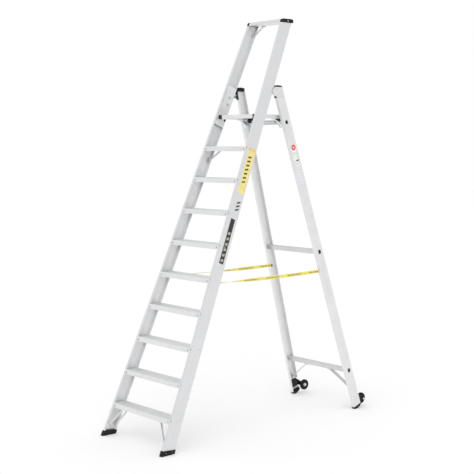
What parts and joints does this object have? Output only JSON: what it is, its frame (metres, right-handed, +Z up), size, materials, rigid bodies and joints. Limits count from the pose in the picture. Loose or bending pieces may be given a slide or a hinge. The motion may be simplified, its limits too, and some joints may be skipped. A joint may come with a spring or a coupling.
{
  "type": "rolling warehouse ladder",
  "caption": "Folding A-frame platform ladder with flat treads, a guard rail above a standing platform, hinged rear legs with crossbars, restraint straps and transport wheels.",
  "frame": {"origin": "floor under the middle of the open ladder's overall box", "axes": "+Z up, +Y from the climbing side to the rear legs, +X to the climber's right"},
  "size_m": [0.7462, 2.1684, 3.153],
  "materials": {
    "aluminium": "extruded mill finish, satin",
    "bright_aluminium": "smooth satin",
    "zinc_steel": "bright zinc plated",
    "black_plastic": "moulded, fine matt texture",
    "foot_rubber": "matt moulded rubber",
    "tyre_rubber": "matt rubber",
    "hub_plastic": "moulded light grey",
    "webbing": "woven polyester webbing"
  },
  "bodies": {
    "front_frame": {"front_stile_right": "aluminium", "front_stile_left": "aluminium", "front_foot_right": "foot_rubber", "front_foot_left": "foot_rubber", "step_1": "aluminium", "step_2": "aluminium", "step_3": "aluminium", "step_4": "aluminium", "step_5": "aluminium", "step_6": "aluminium", "step_7": "aluminium", "step_8": "aluminium", "step_9": "aluminium", "top_rail": "bright_aluminium", "rail_cap_right": "black_plastic", "rail_cap_left": "black_plastic", "step_1_front_strut_right": "bright_aluminium", "step_1_front_strut_left": "bright_aluminium", "step_1_rear_strut_right": "bright_aluminium", "step_1_rear_strut_left": "bright_aluminium", "step_9_gusset_right": "bright_aluminium", "step_9_gusset_left": "bright_aluminium", "top_gusset_right": "bright_aluminium", "top_gusset_left": "bright_aluminium", "hinge_bracket_right": "zinc_steel", "hinge_bracket_left": "zinc_steel", "strap_right": "webbing", "strap_left": "webbing"},
    "rear_frame": {"rear_leg_right": "aluminium", "rear_leg_left": "aluminium", "crossbar_low": "aluminium", "crossbar_middle": "aluminium", "crossbar_upper": "aluminium", "plug_low_right": "black_plastic", "plug_low_left": "black_plastic", "plug_middle_right": "black_plastic", "plug_middle_left": "black_plastic", "plug_upper_right": "black_plastic", "plug_upper_left": "black_plastic", "hinge_plate_right": "bright_aluminium", "hinge_plate_left": "bright_aluminium", "leg_cap_right": "black_plastic", "leg_cap_left": "black_plastic", "lower_brace_right": "bright_aluminium", "lower_brace_left": "bright_aluminium", "platform_rest_right": "zinc_steel", "platform_rest_left": "zinc_steel", "rear_foot_right": "foot_rubber", "rear_foot_left": "foot_rubber", "wheel_bracket_right": "black_plastic", "wheel_bracket_left": "black_plastic", "axle_right": "zinc_steel", "axle_left": "zinc_steel"},
    "platform": {"platform_deck": "aluminium", "platform_clip_right": "black_plastic", "platform_clip_left": "black_plastic"},
    "wheel_right": {"wheel_tyre_right": "tyre_rubber", "wheel_hub_right": "hub_plastic"},
    "wheel_left": {"wheel_tyre_left": "tyre_rubber", "wheel_hub_left": "hub_plastic"}
  },
  "joints": [
    {"name": "rear_frame_fold", "type": "hinge", "parent": "front_frame", "child": "rear_frame", "pos_m": [0, 0.13391, 2.5685], "axis": [-1, 0, 0], "range_deg": [0, 39.6], "deforming": ["strap_right", "strap_left"]},
    {"name": "platform_fold", "type": "hinge", "parent": "front_frame", "child": "platform", "pos_m": [0, -0.03679, 2.396], "axis": [1, 0, 0], "range_deg": [0, 67]},
    {"name": "wheel_spin_right", "type": "hinge", "parent": "rear_frame", "child": "wheel_right", "pos_m": [0.3295, 1.03921, 0.068], "axis": [1, 0, 0], "continuous": true},
    {"name": "wheel_spin_left", "type": "hinge", "parent": "rear_frame", "child": "wheel_left", "pos_m": [-0.3295, 1.03921, 0.068], "axis": [1, 0, 0], "continuous": true}
  ],
  "couplings": [
    {"joint": "platform_fold", "follows": "rear_frame_fold", "ratio": 1.6918}
  ]
}
